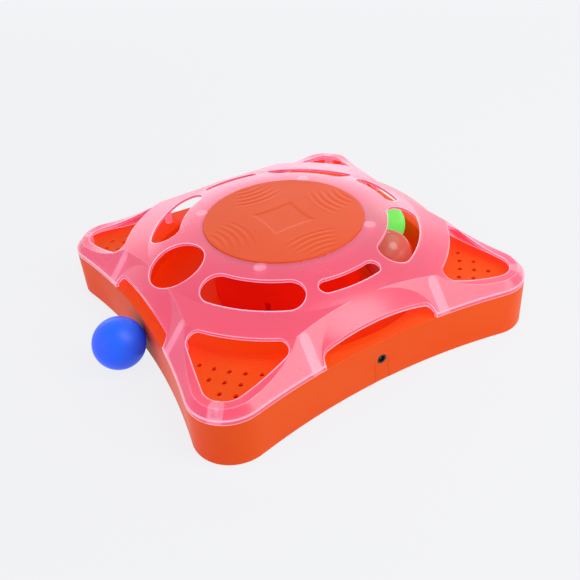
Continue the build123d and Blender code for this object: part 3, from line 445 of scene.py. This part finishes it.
# Balls: moulded play balls, the blue and green ones with a dull skin and a painted glow, though
# they are no lamp, the pink one glossy.
# All are loose: one lies on the floor beside the toy and two run in the track.
give(moulded("ball_blue", colour=(0.004, 0.155, 0.95, 1.0), deep=(0.004, 0.140, 0.92, 1.0),
             edge=(0.01, 0.16, 0.95, 1.0), rough=(0.38, 0.44), blotch=40.0,
             Emission_Color=(0.0, 0.004, 0.20, 1.0), Emission_Strength=1.0),
     "ball_blue")
give(moulded("ball_green", colour=(0.15, 0.93, 0.14, 1.0), deep=(0.14, 0.90, 0.12, 1.0),
             edge=(0.25, 0.93, 0.18, 1.0), rough=(0.4, 0.5), blotch=40.0,
             Emission_Color=(0.02, 0.52, 0.07, 1.0), Emission_Strength=1.0),
     "ball_green")
give(moulded("ball_pink", colour=(0.64, 0.22, 0.14, 1.0), deep=(0.61, 0.20, 0.13, 1.0),
             edge=(0.64, 0.18, 0.13, 1.0), rough=(0.08, 0.12), blotch=40.0),
     "ball_pink")

# Floor: a plain sheet of pale studio paper, laid flat, that the toy and the blue ball rest on.
# It reaches far behind the toy and meets the room in the same pale tone.
FLOOR_HALF = 6.0
FLOOR_GREY = (0.80, 0.81, 0.825, 1.0)
BACKDROP_HOLD = 0.9
BACKGROUND = (0.905, 0.914, 0.928, 1.0)
floor_mesh = bpy.data.meshes.new("floor")
floor_mesh.from_pydata([(-FLOOR_HALF, -FLOOR_HALF, 0.0), (FLOOR_HALF, -FLOOR_HALF, 0.0),
                        (FLOOR_HALF, FLOOR_HALF, 0.0), (-FLOOR_HALF, FLOOR_HALF, 0.0)], [],
                       [(0, 1, 2, 3)])
floor = bpy.data.objects.new("floor", floor_mesh)
scene.collection.objects.link(floor)
floor_material = bpy.data.materials.new("floor_paper")
floor_material.use_nodes = True
tree = floor_material.node_tree
shader = tree.nodes["Principled BSDF"]
shader.inputs["Base Color"].default_value = FLOOR_GREY
shader.inputs["Roughness"].default_value = 0.9
shader.inputs["Specular IOR Level"].default_value = 0.1
glow = place(tree, "Emission", {"Color": BACKGROUND, "Strength": 1.0})


def backdrop_share(tree):
    """One for rays from the camera and those mirrored or let through, else zero."""
    path = place(tree, "LightPath").outputs
    share = path["Is Camera Ray"]
    for ray in ("Is Glossy Ray", "Is Transmission Ray"):
        share = place(tree, "Math", {0: share, 1: path[ray]}, operation="MAXIMUM").outputs[0]
    return share


share = place(tree, "Math", {0: backdrop_share(tree), 1: BACKDROP_HOLD},
              operation="MULTIPLY").outputs[0]
mixed = place(tree, "MixShader", {0: share, 1: shader.outputs["BSDF"], 2: glow.outputs[0]})
tree.links.new(mixed.outputs[0], tree.nodes["Material Output"].inputs["Surface"])
floor_mesh.materials.append(floor_material)

# Light: a pale room, cooler to the left of the toy, with two soft round lamps at the right front
# and one long low panel behind, which gives the far side of the dome its pale sheen.
ROOM = (0.48, 0.47, 0.46, 1.0)
ROOM_LEFT = (2.10, 1.10, 3.00, 1.0)
LEFT_HEADING = (-0.98, 0.10, -0.18)
LEFT_FADE = (0.55, 0.95)
PALE_LIGHT = (1.0, 1.0, 1.0)
LILAC_LIGHT = (0.90, 0.86, 1.0)
world = bpy.data.worlds.new("room")
scene.world = world
world.use_nodes = True
tree = world.node_tree
heading = place(tree, "TexCoord").outputs["Generated"]
beside = place(tree, "VectorMath", {0: heading, 1: LEFT_HEADING}, operation="DOT_PRODUCT")
left_share = remap(tree, beside.outputs["Value"], *LEFT_FADE, 0.0, 1.0)
walls = blend(tree, left_share, ROOM, ROOM_LEFT)
room = tree.nodes["Background"]
tree.links.new(walls, room.inputs["Color"])
backdrop = place(tree, "Background", {"Color": BACKGROUND, "Strength": 1.0})
mixed = place(tree, "MixShader", {0: backdrop_share(tree), 1: room.outputs[0],
                                  2: backdrop.outputs[0]})
tree.links.new(mixed.outputs[0], tree.nodes["World Output"].inputs["Surface"])


def hang_lamp(name, towards, distance, width, tall, power, colour, shape):
    """An area lamp hung the given way from the toy, facing it, out of the camera's sight."""
    lamp_data = bpy.data.lights.new(name, "AREA")
    lamp_data.shape = shape
    lamp_data.size = width
    lamp_data.size_y = tall
    lamp_data.energy = power
    lamp_data.color = colour
    lamp = bpy.data.objects.new(name, lamp_data)
    way = Vector(towards)
    lamp.location = way.normalized() * distance
    lamp.rotation_euler = way.to_track_quat("Z", "Y").to_euler()
    lamp.visible_camera = False
    scene.collection.objects.link(lamp)


hang_lamp("high_lamp", towards=(0.26, -0.45, 0.85), distance=1.2, width=0.7, tall=0.7,
          power=4.4, colour=PALE_LIGHT, shape="ELLIPSE")
hang_lamp("low_lamp", towards=(0.52, -0.70, 0.49), distance=1.3, width=0.6, tall=0.6,
          power=3.2, colour=PALE_LIGHT, shape="ELLIPSE")
hang_lamp("back_panel", towards=(0.62, 0.74, 0.26), distance=1.6, width=4.0, tall=0.9,
          power=15.0, colour=LILAC_LIGHT, shape="RECTANGLE")

# Camera: stands in front of the toy's near corner and looks down on the dome.
# A normal lens, shifted a little, puts the toy just below the middle of the picture.
CAMERA_PLACE = Matrix(((0.8542, 0.3392, -0.3941, -0.25692),
                       (-0.5155, 0.4533, -0.7272, -0.47401),
                       (-0.0680, 0.8243, 0.5621, 0.39646),
                       (0.0, 0.0, 0.0, 1.0)))
camera_data = bpy.data.cameras.new("camera")
camera_data.sensor_width = 36.0
camera_data.lens = 45.02
camera_data.shift_x = 0.00451
camera_data.shift_y = -0.03784
camera_data.clip_start = 0.01
camera = bpy.data.objects.new("camera", camera_data)
camera.matrix_world = CAMERA_PLACE
scene.collection.objects.link(camera)
scene.camera = camera
scene.view_settings.view_transform = "Standard"
